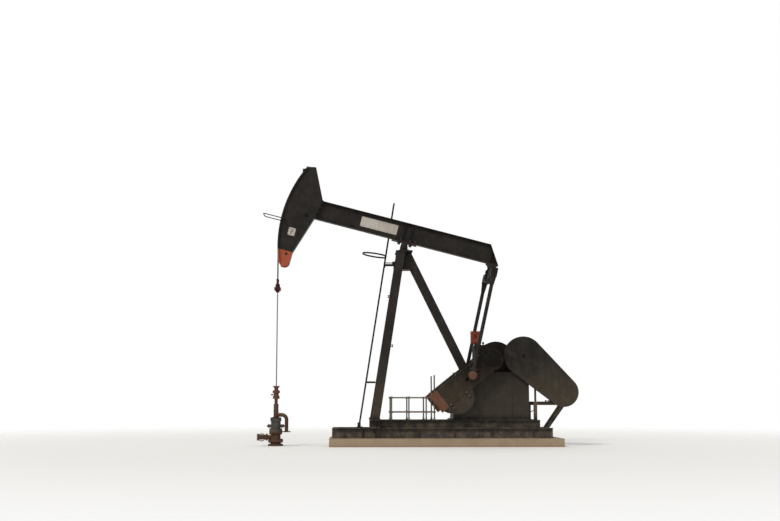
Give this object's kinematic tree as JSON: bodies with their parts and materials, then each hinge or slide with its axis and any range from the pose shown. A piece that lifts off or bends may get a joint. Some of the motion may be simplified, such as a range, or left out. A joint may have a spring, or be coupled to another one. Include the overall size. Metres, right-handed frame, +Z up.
{
  "type": "oil well pumpjack",
  "caption": "Beam pumping unit on a skid, with horse head, bridle, Samson post, crank gear, belt guard, ladder and wellhead.",
  "frame": {"origin": "on the ground under the saddle bearing, in the middle of the machine's width, at the underside of the foundation", "axes": "+X along the machine from the well to the motor, +Y from the belt guard side to the ladder side, +Z up"},
  "size_m": [9.862, 2.4, 8.7749],
  "materials": {
    "concrete": "matte, dusty",
    "skid_paint": "matte, dusty",
    "dark_paint": "satin, weathered",
    "cast_iron": "rough",
    "orange_paint": "satin, faded",
    "rubber": "matte",
    "motor_paint": "satin",
    "grey_steel": "satin",
    "rusty_iron": "rough, rusty",
    "valve_paint": "satin, faded",
    "red_paint": "satin, faded",
    "white_paint": "matte",
    "wire_rope": "twisted strands",
    "bright_rod": "polished"
  },
  "bodies": {
    "base": {"foundation_block": "concrete", "lower_rails": "skid_paint", "cross_beams": "skid_paint", "upper_rails": "skid_paint", "foot_beam": "skid_paint", "pedestal": "dark_paint", "front_leg_near": "dark_paint", "front_leg_far": "dark_paint", "rear_leg": "dark_paint", "leg_braces": "dark_paint", "post_top": "dark_paint", "saddle_bearings": "cast_iron", "gearbox_housing": "dark_paint", "gearbox_cover": "dark_paint", "inspection_box": "orange_paint", "belt_guard": "dark_paint", "belt_drive": "rubber", "motor": "motor_paint", "motor_mount": "dark_paint", "brake_drum": "cast_iron", "ladder": "dark_paint", "ladder_hoop": "dark_paint", "ladder_ties": "dark_paint", "guard_rails": "grey_steel", "casing_head": "rusty_iron", "side_valve": "rusty_iron", "tubing_head": "valve_paint", "pumping_tee": "rusty_iron", "stuffing_box": "red_paint"},
    "beam": {"walking_beam": "dark_paint", "saddle_casting": "cast_iron", "tail_hangers": "dark_paint", "head_cheeks": "dark_paint", "head_face": "dark_paint", "head_back": "dark_paint", "rope_guard": "grey_steel", "sign_plates": "white_paint", "bridle_anchor": "cast_iron", "bridle_wrap": "wire_rope"},
    "pitmans": {"equalizer": "dark_paint", "pitman_near": "dark_paint", "pitman_far": "dark_paint", "wrist_bearings": "cast_iron"},
    "cranks": {"crankshaft": "grey_steel", "crank_near": "dark_paint", "crank_far": "dark_paint", "counterweights": "cast_iron"},
    "carrier": {"carrier_bar": "red_paint", "rod_clamp": "red_paint", "polished_rod": "bright_rod", "bridle_drop": "wire_rope"}
  },
  "joints": [
    {"name": "crank_turn", "type": "hinge", "parent": "base", "child": "cranks", "pos_m": [2.65, 0, 2.64], "axis": [0, 1, 0], "range_deg": [-18.3, 110.8]},
    {"name": "beam_rock", "type": "hinge", "parent": "base", "child": "beam", "pos_m": [0, 0, 6.22], "axis": [0, 1, 0], "range_deg": [-28, 4.9]},
    {"name": "pitman_swing", "type": "hinge", "parent": "beam", "child": "pitmans", "pos_m": [2.77618, 0, 5.51216], "axis": [0, 1, 0], "range_deg": [-4.6, 26.4]},
    {"name": "carrier_lift", "type": "slide", "parent": "base", "child": "carrier", "axis": [0, 0, 1], "range_m": [-1.94, 0.34], "deforming": ["bridle_drop"]}
  ],
  "couplings": [
    {"joint": "beam_rock", "follows": "crank_turn", "ratio": -0.25},
    {"joint": "pitman_swing", "follows": "crank_turn", "ratio": 0.235},
    {"joint": "carrier_lift", "follows": "crank_turn", "m_per_rad": -0.9925}
  ]
}
